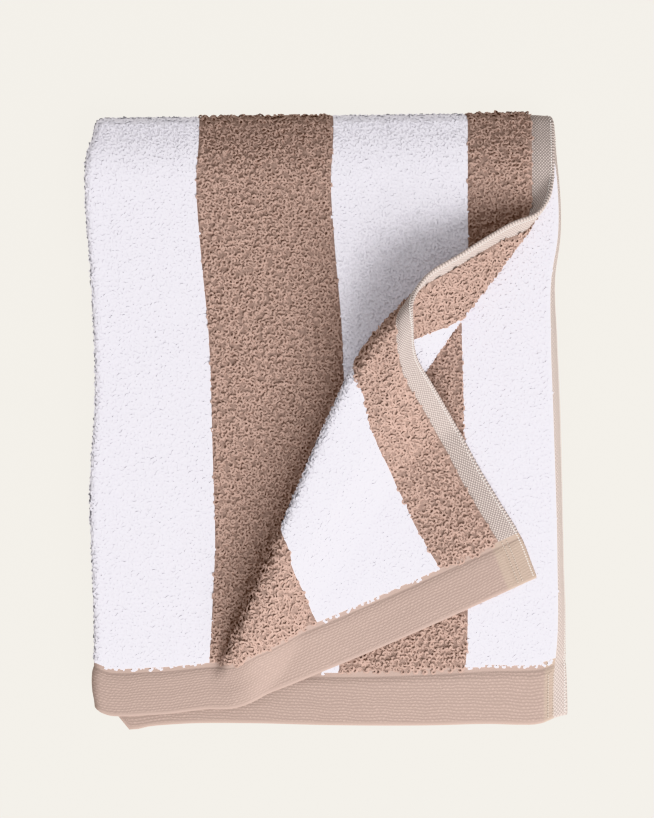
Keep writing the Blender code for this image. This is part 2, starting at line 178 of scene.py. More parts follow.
SWELL = (
    # distance past the crest of the pleat, height by which the upper layer swells
    (-30.0, 0.0), (-18.0, 2.0), (-8.0, 5.2), (0.0, 8.4), (8.0, 9.4), (20.0, 7.6), (45.0, 3.2),
    (90.0, 0.0),
)
SWELL_ANGLE = 22.8  # of the crest about the apex
SWELL_REACH = (8.0, 70.0, 170.0, 240.0)  # the radii between which the swell grows, and fades
BAND_BLEND = (100.0, 182.0)  # the angles over which the front band bends back to straight

# Half the sheet's thickness without its loops, by the distance from an end and from a long edge.
END_PROFILE = ((0.0, 0.9), (21.0, 0.9), (21.7, 0.7), (22.4, 0.82), (24.0, 0.82), (25.5, 1.35))
HEM_PROFILE = ((0.0, 0.9), (9.0, 0.95), (10.2, 0.7), (11.8, 1.35))
BAND_SETTLES = (1.3, 6.0, 34.0)  # how far the thinner end bands sink, and v between which that fades
HEM_SETTLES = (0.9, 3.0, 16.0)

CLOTH_COLUMNS = (
    # u where a stretch ends, widest spacing in it
    (1.2, 0.6), (BACK_HEM - 1.0, 2.2), (BACK_HEM + 0.5, 0.75), (HEM - 1.2, 2.0), (HEM + 1.0, 0.55),
    (44.0, 2.4), (113.0, 2.4), (183.0, 2.6), (234.0, 5.0), (258.0, 1.75), (313.0, 5.0), (378.0, 5.0),
    (444.0, 3.5), (484.0, 3.4), (WIDTH - HEM - 1.0, 1.4), (WIDTH - HEM + 1.2, 0.8),
    (WIDTH - BACK_HEM - 1.0, 1.6), (WIDTH - BACK_HEM + 1.0, 0.7), (WIDTH - 1.2, 2.0), (WIDTH, 0.6),
)
CLOTH_ROWS = (
    # v where a stretch ends, widest spacing in it
    (1.2, 0.6), (20.6, 2.2), (BAND + 0.6, 0.65), (31.0, 1.3), (TOP_END, 2.9), (TURNED_UNDER, 1.6),
    (FRONT_TURN[0], 8.5), (FRONT_TURN[1], 1.9), (LENGTH - BAND, 9.0), (LENGTH - 1.2, 3.5), (LENGTH, 0.6),
)
RIM_RINGS = 3  # between the sheet's two faces, around its rounded edge
BAKE_SIZE, BAKE_FROM = (0.46, 0.97), (0.02, 0.015)  # of the first face in the map 'OFBake'
BAKE_RIM = 0.002  # width there of one ring of the rim
NORMAL_STEP = 0.25  # over which cloth_axes() takes its differences


# ---------------------------------------------------------------- the fold


def eased(value, start, end):
    """0 before start, 1 past end and a smooth rise between."""
    share = np.clip((value - start) / (end - start), 0, 1)
    return share * share * (3 - 2 * share)


def between(pair, share):
    """The pair's first value at 0, its second at 1."""
    return pair[0] + (pair[1] - pair[0]) * share


def through(value, rows):
    """A smooth curve through a table's rows, level past its ends: cubics that share their slopes."""
    places, heights = np.array(rows, float).T
    slopes = np.gradient(heights, places)
    slopes[[0, -1]] = 0
    value = np.clip(value, places[0], places[-1])
    row = np.clip(np.searchsorted(places, value) - 1, 0, len(places) - 2)
    step = places[row + 1] - places[row]
    share = (value - places[row]) / step
    rest = 1 - share
    return (
        heights[row] * (1 + 2 * share) * rest**2
        + slopes[row] * step * share * rest**2
        + heights[row + 1] * share**2 * (3 - 2 * share)
        - slopes[row + 1] * step * share**2 * rest
    )


def summed(steps):
    """The running sum, from 0 on."""
    return np.concatenate([[0], np.cumsum(steps)])


def run_at(v):
    """Y, Z and heading of the doubled cloth's middle at v along its length: the heading turns evenly
    over each section of RUN, and the place is the sum of short steps along it."""
    _, lengths, turns = zip(*RUN)
    along = np.arange(0, LENGTH + RUN_STEP, RUN_STEP)
    heading = np.interp(along, summed(lengths), summed(np.radians(turns)))
    middle = (heading[1:] + heading[:-1]) / 2
    y = FRONT_END + summed(np.cos(middle) * RUN_STEP)
    z = summed(np.sin(middle) * RUN_STEP)
    z += (THICKNESS + PITCH) / 2 - z.min()
    return [np.interp(v, along, row) for row in (y, z, heading)]


def pleat_sections(rho):
    """Start of the pleat and the length and turn of each of its sections, along a circle of radius
    rho about the apex: a turn over, a lifted face, a turn back at the crest, a level stretch, and a
    step down to the layer below, which is a turn, a slope and a turn back to level. The lifted face
    is as long as makes the flap lie FLAP_TURN round from its flat place. Near the apex there is too
    little cloth for the whole turn, so it goes only part of the way."""
    far = eased(rho, *ROLL_REACH)
    grown = eased(rho, 0, APEX_REACH)
    soft = APEX_SOFTNESS * (1 - grown)
    lower, crest = between(LOWER_RADIUS, far) + soft, between(CREST_RADIUS, far) + soft
    edge, landing = between(STEP_RADIUS, far), between(LANDING_RADIUS, far)
    lift, drop = np.radians(between(LIFT, far)), np.radians(between(DROP, far))
    taken = np.radians(FLAP_TURN) * rho * grown + SLACK * eased(rho, *SLACK_REACH)
    over, down = lower + crest, edge + landing  # the two turns over, and the two of the step

    def turns_take(lift, drop):
        rise = over * (1 - np.cos(lift)) - down * (1 - np.cos(drop))
        bends = over * (lift - np.sin(lift)) + down * (drop - np.sin(drop))
        return bends + np.tan(drop / 2) * rise

    least, most = np.zeros_like(rho), np.ones_like(rho)
    for _ in range(HALVINGS):
        middle = (least + most) / 2
        too_much = turns_take(middle * lift, middle * drop) > taken
        least, most = np.where(too_much, least, middle), np.where(too_much, middle, most)
    lift, drop = lift * most, drop * most
    face = (taken - turns_take(lift, drop)) / (1 - np.cos(lift) + np.tan(drop / 2) * np.sin(lift))
    face = np.maximum(face, 0)
    rise = over * (1 - np.cos(lift)) + face * np.sin(lift)
    slope = np.maximum((rise - down * (1 - np.cos(drop))) / np.sin(drop), 0)
    crease = np.radians(between(LOWER_CREASE, eased(rho, *LOWER_CREASE_REACH)))
    crease = crease - np.radians(CREASE_SWERVE[0]) * (1 - eased(rho, *CREASE_SWERVE[1:]))
    start = rho * crease - (lower + THICKNESS / 2) * np.sin(np.minimum(lift, np.pi / 2))
    level = face + (lower + CREASE_CLEARANCE) * eased(np.degrees(lift), *TURNED_OVER)
    none = np.zeros_like(rho)
    lengths = (lower * lift, face, crest * lift, level * (1 - far), edge * drop, slope, landing * drop)
    return start, lengths, (lift, none, -lift, none, -drop, none, drop)


def pleated(rho, angle):
    """Where the pleat carries a flat place, its angle about the apex and its height: each section is
    an arc or a straight, and the ones that the place lies past are added up."""
    begin, lengths, turns = pleat_sections(rho)
    along = rho * angle - begin
    heading, done, taken, height = np.zeros((4, *rho.shape))
    for length, turn in zip(lengths, turns):
        part = np.clip(along - done, 0, length)
        bend = turn / np.maximum(length, 1e-9)
        bends = np.abs(turn) > 1e-9
        divisor = np.where(bends, bend, 1)
        end = heading + bend * part
        forward = (np.sin(end) - np.sin(heading)) / divisor
        upward = (np.cos(heading) - np.cos(end)) / divisor
        taken += part - np.where(bends, forward, np.cos(heading) * part)
        height += np.where(bends, upward, np.sin(heading) * part)
        heading = heading + turn
        done = done + length
    slack = SLACK * eased(rho, *SLACK_REACH) * eased(np.degrees(angle), *SLACK_FADE)
    return angle - (taken - slack) / np.maximum(rho, 1e-6), height


def front_shift(u, v):
    """How far the cloth's front part lies towards the back, by FRONT_DRIFT."""
    return through(u, FRONT_DRIFT) * eased(FRONT_DRIFT_REACH - v, 0, FRONT_DRIFT_REACH)


def strand_drift(u, y, at_fold, free):
    """Shift to the right of the doubled cloth's upper strand: STRIPE_DRIFT, less the share of it that
    the cloth is free of, which gives way to the shift at_fold near the fold."""
    drift = through(y, STRIPE_DRIFT) * eased(u, *STRIPE_DRIFT_REACH) * (1 - free)
    return drift + (at_fold - drift) * eased(u, LEFT_DRIFT_FROM, UPPER_REACH)


def upper_layer(u, flat_y):
    """X, Y and added height of the layer on top, which the pleat crosses: its polar place about the
    apex is turned as pleated() says, and back into X and Y."""
    flat_x = RIGHT_EDGE - u
    east, north = flat_x - APEX[0], flat_y - APEX[1]
    rho, angle = np.hypot(east, north), np.arctan2(east, north)
    degrees = np.degrees(angle)
    placed, height = pleated(rho, angle)
    straight = eased(degrees, *BAND_BLEND)
    placed = placed + (angle - placed) * straight
    height = height * (1 - straight)
    reach = np.sqrt(np.maximum(rho**2 - height**2, 0))
    swell = through(rho * (placed - np.radians(SWELL_ANGLE)), SWELL)
    swell = swell * eased(rho, *SWELL_REACH[:2]) * (1 - eased(rho, *SWELL_REACH[2:]))
    height = height + swell * (1 - straight)
    flap = eased(degrees, *FLAP_FROM) * (1 - straight) * eased(rho, 0, FLAP_NEAR)
    drift = strand_drift(u, flat_y, through(flat_y, LEFT_DRIFT), flap)
    fades = between(FLAP_SHIFT_FADES, eased(degrees, *FLAP_SHIFT_TURNS))
    share = np.maximum(1 - u / (RIGHT_EDGE - APEX[0]), 0) ** fades
    right, back = (through(degrees, [(row[0], row[way]) for row in FLAP_SHIFT]) * share for way in (1, 2))
    x = APEX[0] + reach * np.sin(placed) + drift + right
    return x, APEX[1] + reach * np.cos(placed) + back, height


def hem_hang(u, y):
    """How far in and down the second layer's long hem hangs, for its distance past the bend: an arc,
    then a straight at the hem's droop."""
    past = np.maximum(u - HEM_BEND[0], 0)
    droop = np.radians(through(y, HEM_DROOP))
    radius = HEM_BEND[1] / droop
    turned = np.minimum(past, HEM_BEND[1]) / radius
    rest = np.maximum(past - HEM_BEND[1], 0)
    down = radius * (1 - np.cos(turned)) + rest * np.sin(droop)
    return past - radius * np.sin(turned) - rest * np.cos(droop), down


def folded(u, v):
    """Places, in millimetres, of points of the cloth's middle: the run gives Y and Z along the
    length, the fold across the width gives X and which strand, and the pleat moves the top layer."""
    y, z, heading = run_at(v)
    round_fold = np.clip((u - UPPER_REACH) / FOLD_ARC, 0, 1) * np.pi
    offset = np.cos(round_fold) * PITCH / 2
    upper, lower = u < UPPER_REACH, u > UPPER_REACH + FOLD_ARC
    hidden = eased(v, TOP_END, TURNED_UNDER)

    left = through(y, LEFT_DRIFT) + through(y, HIDDEN_LEFT) * hidden
    drift = strand_drift(u, y, left, hidden)
    hidden_edge = HIDDEN_EDGE * hidden
    upper_x = RIGHT_EDGE - u + drift + hidden_edge * np.maximum(1 - u / UPPER_REACH, 0)
    past_fold = u - UPPER_REACH - FOLD_ARC
    hang_in, hang_down = hem_hang(u, y)
    hang = 1 - eased(v, *HANG_ENDS)
    gathered = np.maximum(u - HEM_BEND[0], 0) * (1 - HEM_GATHER)
    gathered = gathered * (1 - hang) * (1 - eased(v, TURNED_UNDER, TURNED_UNDER + HEM_SPREAD))
    edge = through(y, LOWER_EDGE_DRIFT) * eased(u, *LOWER_EDGE_REACH) * (1 - hidden)
    left_share = left * (1 - eased(u, *LEFT_DRIFT_BELOW))
    shown_x = LEFT_X + left_share + past_fold + edge - hang_in * hang - gathered
    full = WIDTH - UPPER_REACH - FOLD_ARC
    hidden_x = LEFT_X + left + past_fold * (UPPER_REACH + hidden_edge - HIDDEN_INSET - left) / full
    lower_x = shown_x + (hidden_x - shown_x) * hidden
    fold_x = LEFT_X + left - np.sin(round_fold) * PITCH / 2
    x = np.where(upper, upper_x, np.where(lower, lower_x, fold_x))

    y = y + front_shift(u, v) * (1 - hidden)
    top_x, top_y, lifted = upper_layer(u, y)
    on_top = upper & (v < TOP_END)
    x = np.where(on_top, top_x, x)
    y = np.where(on_top, top_y, y)
    settle = BAND_SETTLES[0] * (1 - eased(v, *BAND_SETTLES[1:]))
    settle = settle + HEM_SETTLES[0] * (1 - eased(u, *HEM_SETTLES[1:]))
    y = y + x * BACK_SKEW * eased(y, *BACK_SKEW_REACH) - np.sin(heading) * (offset - settle)
    sink = hang_down * hang * lower
    z = z + np.cos(heading) * (offset - settle) + np.where(on_top, lifted, 0) - sink
    return np.stack([x - PLAN_CENTRE[0], y - PLAN_CENTRE[1], z], axis=-1)


def unit(vectors):
    return vectors / np.maximum(np.linalg.norm(vectors, axis=-1, keepdims=True), 1e-9)


def cloth_axes(u, v):
    """Place, unit direction along u, unit direction along v and unit normal of the cloth's first face,
    in millimetres, from small central differences of folded()."""
    near_u, far_u = np.maximum(u - NORMAL_STEP, 0), np.minimum(u + NORMAL_STEP, WIDTH)
    near_v, far_v = np.maximum(v - NORMAL_STEP, 0), np.minimum(v + NORMAL_STEP, LENGTH)
    across = unit(folded(far_u, v) - folded(near_u, v))
    along = folded(u, far_v) - folded(u, near_v)
    normal = unit(np.cross(along, across))
    return folded(u, v), across, np.cross(across, normal), normal


# ---------------------------------------------------------------- meshes


def spaced(stretches):
    """Places from 0 on: each stretch of the table in equal steps no wider than its spacing."""
    places = [0.0]
    for end, widest in stretches:
        steps = max(1, int(np.ceil((end - places[-1]) / widest - 1e-6)))
        places += list(np.linspace(places[-1], end, steps + 1)[1:])
    return np.array(places)


def quads_of(grid):
    """The four-cornered faces of a grid of point numbers."""
    return np.stack([grid[:-1, :-1], grid[:-1, 1:], grid[1:, 1:], grid[1:, :-1]], -1).reshape(-1, 4)


def strips(rings):
    """For each closed ring and the next one, the four corners of every face between them."""
    pairs = zip(rings[:-1], rings[1:])
    return [np.stack([here, np.roll(here, -1, 0), np.roll(past, -1, 0), past], 1) for here, past in pairs]


def repeated(count, size, shapes):
    """The corners in one row, and how many each face has, of that many copies of a small mesh with
    size points. Each array of shapes holds those of its faces that have the same count of corners."""
    first = np.arange(count)[:, None, None] * size
    corners = [(first + shape).ravel() for shape in shapes]
    counts = [np.full(count * len(shape), shape.shape[1]) for shape in shapes]
    return np.concatenate(corners), np.concatenate(counts)


def mesh_of(name, points, corners, counts):
    """A mesh from arrays: points in millimetres, the faces' corners in one row and how many each has."""
    mesh = bpy.data.meshes.new(name)
    mesh.vertices.add(len(points))
    mesh.vertices.foreach_set("co", (points * MM).astype(np.float32).ravel())
    mesh.loops.add(len(corners))
    mesh.loops.foreach_set("vertex_index", corners.astype(np.int32))
    mesh.polygons.add(len(counts))
    starts = np.concatenate([[0], np.cumsum(counts)[:-1]])
    mesh.polygons.foreach_set("loop_start", starts.astype(np.int32))
    mesh.update(calc_edges=True)
    mesh.polygons.foreach_set("use_smooth", np.ones(len(counts), bool))
    return mesh


def add_map(mesh, name, places):
    """A UV map with a place for each corner of each face."""
    layer = mesh.uv_layers.new(name=name, do_init=False)
    layer.uv.foreach_set("vector", places.astype(np.float32).ravel())


def placed_object(name, data):
    """A new object in the scene."""
    made = bpy.data.objects.new(name, data)
    bpy.context.scene.collection.objects.link(made)
    return made


def add_piece(name, mesh, materials, replaced=()):
    """The mesh as a piece that rides on the towel's one body."""
    for material in materials:
        mesh.materials.append(material)
    piece = placed_object(name, mesh)
    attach(piece, "root")
    if replaced:
        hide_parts(*replaced)
    return piece


def woven_place(u, v, side):
    """u and v in the measure of the first face's weave. The second face's end bands are wider and its
    side hems narrower, so its places are drawn in towards the ends and moved in from the edges."""
    wide = np.where(side > 0, BAND, through(u, BACK_BAND))
    moved = np.where(side > 0, 0, HEM - BACK_HEM)
    woven_v = np.where(v < LENGTH / 2, v * BAND / wide, LENGTH - (LENGTH - v) * BAND / wide)
    return np.where(u < WIDTH / 2, u + moved, u - moved), woven_v


def nearer(place, whole):
    """The distance from the nearer end of a whole length."""
    return np.minimum(place, whole - place)


def half_thickness(u, v, side):
    """Half the sheet's thickness on one of its faces: the lesser of the profile from the nearer end
    and the one from the nearer long edge."""
    woven_u, woven_v = woven_place(u, v, side)
    from_end, from_edge = nearer(woven_v, LENGTH), nearer(woven_u, WIDTH)
    return np.minimum(through(from_end, END_PROFILE), through(from_edge, HEM_PROFILE))


def cloth_mesh():
    """The closed sheet: the middle surface moved out along its normal by half the thickness to both
    sides, on a grid of u and v, with a half-round rim between the two faces' borders. The UV map
    'Cloth' holds u and v in metres, and 'OFBake' lays the two faces side by side."""
    columns, rows = spaced(CLOTH_COLUMNS), spaced(CLOTH_ROWS)
    u, v = np.meshgrid(columns, rows, indexing="ij")
    middle, _, _, normal = cloth_axes(u, v)
    first_half = half_thickness(u, v, 1)[..., None]
    second_half = half_thickness(u, v, -1)[..., None]
    wide, long = u.shape
    grid = np.arange(wide * long).reshape(wide, long)

    border = np.concatenate([grid[:-1, 0], grid[-1, :-1], grid[:0:-1, -1], grid[0, :0:-1]])
    i, j = np.divmod(border, long)
    inner_i, inner_j = np.clip(i, 1, wide - 2), np.clip(j, 1, long - 2)
    upright, outward = normal[i, j], middle[i, j] - middle[inner_i, inner_j]
    outward = unit(outward - (outward * upright).sum(-1, keepdims=True) * upright)
    turn = np.pi * np.arange(1, RIM_RINGS + 1)[:, None, None] / (RIM_RINGS + 1)
    half = between((first_half[i, j], second_half[i, j]), turn / np.pi)
    rim = middle[i, j] + half * (np.cos(turn) * upright + np.sin(turn) * outward)
    layers = (middle + normal * first_half, middle - normal * second_half, rim)
    points = np.concatenate([layer.reshape(-1, 3) for layer in layers])

    first = quads_of(grid)
    second = first[:, ::-1] + grid.size
    rings = 2 * grid.size + np.arange(RIM_RINGS * len(border)).reshape(RIM_RINGS, -1)
    faces = np.concatenate([first, second, *strips([border, *rings, border + grid.size])])
    mesh = mesh_of("towel_cloth", points, faces.ravel(), np.full(len(faces), 4))

    flat = np.stack([u.ravel(), v.ravel()], -1)
    rims = [flat[border]] * RIM_RINGS
    side = np.where(np.arange(len(faces)) < len(first), 1, -1)
    side[2 * len(first) : 2 * len(first) + (RIM_RINGS + 1) // 2 * len(border)] = 1
    corner_u, corner_v = np.concatenate([flat, flat, *rims])[faces].transpose(2, 0, 1)
    woven = woven_place(corner_u, corner_v, side[:, None])
    add_map(mesh, "Cloth", np.stack(woven, -1).reshape(-1, 2) * MM)

    share = flat / (WIDTH, LENGTH) * BAKE_SIZE + BAKE_FROM
    away = unit(np.stack([i - inner_i, j - inner_j], -1).astype(float)) * BAKE_RIM
    rims = [share[border] + away * ring for ring in range(RIM_RINGS + 2)]
    places = [share[first], share[second - grid.size] + (0.5, 0), *strips(rims)]
    add_map(mesh, "OFBake", np.concatenate(places).reshape(-1, 2))

    slots = cloth_slots(corner_u.mean(1), corner_v.mean(1), side)
    mesh.polygons.foreach_set("material_index", slots)
    return mesh


CLOTH_SLOTS = ("brown", "white", "band", "hem", "back_hem")


def cloth_slots(u, v, side):
    """Which of CLOTH_SLOTS each place of the cloth is."""
    ends, colours = zip(*STRIPES)
    stripe = np.minimum(np.searchsorted(ends, u), len(ends) - 1)
    woven_u, woven_v = woven_place(u, v, side)
    in_hem = nearer(woven_u, WIDTH) < HEM
    in_band = (nearer(woven_v, LENGTH) < BAND) & ((side > 0) | ~in_hem)
    number = CLOTH_SLOTS.index
    slot = np.where(in_hem, np.where(side > 0, number("hem"), number("back_hem")), -1)
    slot = np.where(in_band, number("band"), slot)
    return np.where(slot < 0, np.array([number(colour) for colour in colours])[stripe], slot).astype(np.int32)


# ---------------------------------------------------------------- the pile

SIGHT_STEP = 7.0  # spacing of the places where it is tested whether the cloth shows
BLOCKING_STEP = 4.0  # spacing of the surface that hides it
SIGHT_LIFT = 2.2  # how far above the cloth a line of sight starts
SIGHT_ELEVATIONS = (62.0, 35.0, 12.0)
SIGHT_TURNS = 8
SIGHT_SLANT = 0.05  # the least cosine between a line of sight and the cloth's normal
LOOP_BENDS = {"brown": 4, "white": 3}  # straight lengths in a loop of yarn
LOOP_SIDES = 3
PIECE_TRIANGLES = 190000  # the most in one piece of pile
FOOT_STRAY = 0.28  # how far a loop's foot strays from its row, as a share of the gap
FOOT_DEPTH = 0.3  # how deep it stands in the cloth
REACH_SPREAD = (0.72, 1.28)  # the least and most of the usual loop's half width, and so on
HEIGHT_SPREAD = (0.75, 1.25)
YARN_SPREAD = (0.85, 1.15)
CURL = 0.45  # how far a loop's two halves bend out of its plane, as a share of its half width
BELLY = 0.35  # how much wider than its feet a loop is higher up
CAP_SPOTS = (((0, 0), (0.2, 0), (0.1, 0.1)), ((0, 0.9), (0.2, 0.9), (0.1, 1.0)))  # a loop's ends in its cell
PILE_MARGIN = 0.5  # from the stripe's border to the nearest loop's foot
BAND_OVERHANG = 0.9  # how far the nearest foot stands over the end band
RAGGED = 0.6  # how far the stripes' borders stray either way
BORDER_LEAN = 1.3  # how near to a border the loops lean away from it


def sight_lines():
    """Unit directions in which a viewer may stand: straight up, then rings at each elevation."""
    azimuths = 2 * np.pi * (np.arange(SIGHT_TURNS) + 0.5) / SIGHT_TURNS
    lines = [(0, 0, 1)]
    for up in np.radians(SIGHT_ELEVATIONS):
        lines += [(np.cos(up) * np.cos(way), np.cos(up) * np.sin(way), np.sin(up)) for way in azimuths]
    return [Vector(line) for line in lines]


def coarse_grid(step):
    """u and v of a grid over the whole cloth, its last row and column on the edges."""
    columns, rows = np.arange(0, WIDTH + step, step), np.arange(0, LENGTH + step, step)
    return np.meshgrid(np.minimum(columns, WIDTH), np.minimum(rows, LENGTH), indexing="ij")


def shown(side):
    """Whether each place of a coarse grid of u and v shows on one face of the cloth: a straight line
    from just above it meets no other cloth in one direction or more. Places next to one that shows
    count too."""
    u, v = coarse_grid(BLOCKING_STEP)
    faces = quads_of(np.arange(u.size).reshape(u.shape))
    blocks = BVHTree.FromPolygons(folded(u, v).reshape(-1, 3).tolist(), faces.tolist())
    middle, _, _, normal = cloth_axes(*coarse_grid(SIGHT_STEP))
    start = middle + normal * side * SIGHT_LIFT
    lines = sight_lines()
    wide, long = normal.shape[:2]
    seen = np.zeros((wide, long), bool)
    for place in np.ndindex(wide, long):
        origin, facing = Vector(start[place]), Vector(normal[place] * side)
        seen[place] = any(
            facing.dot(line) > SIGHT_SLANT and blocks.ray_cast(origin, line)[0] is None for line in lines
        )
    framed = np.pad(seen, 1)
    return np.any([framed[i : i + wide, j : j + long] for i in range(3) for j in range(3)], axis=0)


def loop_feet(start, end, side, sight, chance, gap):
    """u and v of the loops' feet in one stripe: a brick pattern of rows, each foot moved a little at
    random, where the cloth shows and past the end bands. The third array says which way a loop near
    the stripe's border leans: 1 towards greater u, -1 towards less, 0 either way."""
    columns = np.arange(start + PILE_MARGIN - RAGGED, end - PILE_MARGIN + RAGGED, gap)
    rows = np.arange(BAND - BAND_OVERHANG, LENGTH - BAND + BAND_OVERHANG, gap)
    u, v = np.meshgrid(columns, rows, indexing="ij")
    u = u + np.arange(len(rows)) % 2 * gap / 2
    u, v = (place + chance.uniform(-FOOT_STRAY, FOOT_STRAY, u.shape) * gap for place in (u, v))
    near = np.round(u / SIGHT_STEP).astype(int), np.round(v / SIGHT_STEP).astype(int)
    piled = nearer(woven_place(u, v, side)[1], LENGTH) > BAND - BAND_OVERHANG
    past = u + chance.uniform(-RAGGED, RAGGED, u.shape)
    keep = sight[near] & piled & (past > start + PILE_MARGIN) & (past < end - PILE_MARGIN)
    leaning = (u < start + BORDER_LEAN) * 1 - (u > end - BORDER_LEAN)
    return u[keep], v[keep], leaning[keep]


def loops_mesh(name, u, v, side, leaning, chance, bends, width, height, yarn, leans, evenness):
    """Loops of yarn standing on the cloth. Each is half of an ellipse in a plane that leans over to a
    random side, carried round by a tube of LOOP_SIDES sides, its ends closed inside the cloth. Its
    normals are turned towards the cloth's by the share evenness, so that dense soft pile shades as
    one surface. The UV map 'Pile' holds the loop's own shade and the height along it, 0 at the feet
    and 1 at the top, and 'OFBake' gives each loop a cell of its own."""
    count = len(u)
    middle, across, along, normal = (part[:, None, None] for part in cloth_axes(u, v))
    normal = normal * side[:, None, None, None]

    def drawn(least, most):
        return chance.uniform(least, most, count)[:, None, None, None]

    turn = drawn(0, 2 * np.pi)
    lean = np.radians(drawn(*leans))
    reach = width / 2 * drawn(*REACH_SPREAD)
    height = height * drawn(*HEIGHT_SPREAD)
    yarn = yarn / 2 * drawn(*YARN_SPREAD)
    curl = drawn(-CURL, CURL)
    shade = chance.uniform(0, 1, count)

    wide = across * np.cos(turn) + along * np.sin(turn)
    beside = np.cross(normal, wide)
    wrong_way = (beside * across).sum(-1, keepdims=True) * leaning[:, None, None, None] < 0
    lean = np.where(wrong_way, -lean, lean)
    tall = normal * np.cos(lean) + beside * np.sin(lean)
    flank = np.cross(wide, tall)
    bend = np.pi * np.arange(bends + 1)[:, None, None] / bends
    cos, sin = np.cos(bend), np.sin(bend)
    spine = middle + normal * (half_thickness(u, v, side) - FOOT_DEPTH)[:, None, None, None]
    spine = spine + wide * (reach * cos * (1 + BELLY * sin)) + tall * (height * sin)
    spine = spine + flank * (curl * reach * np.sin(2 * bend))
    ring = 2 * np.pi * np.arange(LOOP_SIDES)[:, None] / LOOP_SIDES
    round_it = unit(wide * cos + tall * sin) * np.cos(ring) + flank * np.sin(ring)
    points = spine + yarn * round_it

    seamed = np.arange((bends + 1) * (LOOP_SIDES + 1)).reshape(bends + 1, -1)
    over, turned = np.divmod(quads_of(seamed.T), LOOP_SIDES + 1)
    end = np.arange(LOOP_SIDES)
    shapes = (over * LOOP_SIDES + turned % LOOP_SIDES, np.stack([end, bends * LOOP_SIDES + end[::-1]]))
    mesh = mesh_of(name, points.reshape(-1, 3), *repeated(count, (bends + 1) * LOOP_SIDES, shapes))
    shading = unit(round_it * (1 - evenness) + normal * evenness)
    mesh.normals_split_custom_set_from_vertices(shading.reshape(-1, 3).astype(np.float32))

    level = np.repeat(sin, LOOP_SIDES)
    shades = [np.broadcast_arrays(shade[:, None, None], level[shape]) for shape in shapes]
    add_map(mesh, "Pile", np.concatenate([np.stack(pair, -1).reshape(-1, 2) for pair in shades]))

    cells = int(np.ceil(np.sqrt(count)))
    cell = np.stack(np.divmod(np.arange(count), cells), -1)[:, None, None]
    spots = (np.stack([turned / LOOP_SIDES, over / bends], -1), np.array(CAP_SPOTS))
    bake = [((cell + 0.1 + spot * 0.8) / cells).reshape(-1, 2) for spot in spots]
    add_map(mesh, "OFBake", np.concatenate(bake))
    return mesh


# ---------------------------------------------------------------- stitches

BEAD_SIDES = 4
EDGE_STITCH = (0.75, 1.3, 0.95, 0.62)  # from the edge, from one stitch to the next, length and width
EDGE_STITCH_RUN = 62.0  # its direction, in degrees from across the cloth
EDGE_STITCH_LIFT = -0.05  # of its middle above the cloth
CHAIN_ROWS = (7.0, 9.5)  # from the edge, where the chain stitches cross the end bands
CHAIN_STITCH = (1.35, 1.5, 0.75)  # from one stitch to the next, length and width
CHAIN_STITCH_RUN = 90.0


def sew(name, thread, u, v, run, length, width, lift):
    """A piece of small stitches on both faces of the cloth: each is a double cone of BEAD_SIDES
    sides, smoothly shaded, that lies in the direction run and stands half out of the cloth."""
    side = np.repeat([1.0, -1.0], len(u))
    u, v, run = np.tile(u, 2), np.tile(v, 2), np.radians(run)
    middle, across, along, normal = (part[:, None] for part in cloth_axes(u, v))
    normal = normal * side[:, None, None]
    ahead = across * np.cos(run) + along * np.sin(run)
    centre = middle + normal * (half_thickness(u, v, side) + lift)[:, None, None]
    ring = 2 * np.pi * (np.arange(BEAD_SIDES)[:, None] + 0.5) / BEAD_SIDES
    round_it = width / 2 * (np.cross(normal, ahead) * np.cos(ring) + normal * np.sin(ring))
    start, end = centre - ahead * length / 2, centre + ahead * length / 2
    rings = [centre - ahead * length / 5 + round_it, centre + ahead * length / 5 + round_it]
    points = np.concatenate([start, *rings, end], axis=1)
    near = 1 + np.arange(BEAD_SIDES)
    far = near + BEAD_SIDES
    (quads,) = strips([near, far])
    first, last = np.zeros_like(near), np.full_like(near, far[-1] + 1)
    caps = [np.stack([first, np.roll(near, -1), near], -1), np.stack([last, far, np.roll(far, -1)], -1)]
    mesh = mesh_of(name, points.reshape(-1, 3), *repeated(len(u), points.shape[1], (quads, *caps)))
    add_piece(name, mesh, [thread])


# ---------------------------------------------------------------- materials

# Places in the end band, in metres from its end.
BAND_TURNED = (0.0004, 0.0016)  # where the smooth turned edge gives way to the ribs
BAND_BESIDE = (0.0212, 0.0224)  # where the smooth strip beside the pile begins
BAND_SEAM = 0.0216
SEAM_SIDES = (0.0002, 0.0007)  # from the seam's middle
BAND_WARM = (0.0145, 0.0165)  # from the long edge, where the warmer stretch ends
DOTS = 620.0  # of the hem's weave in a metre of u plus v, and of u less v


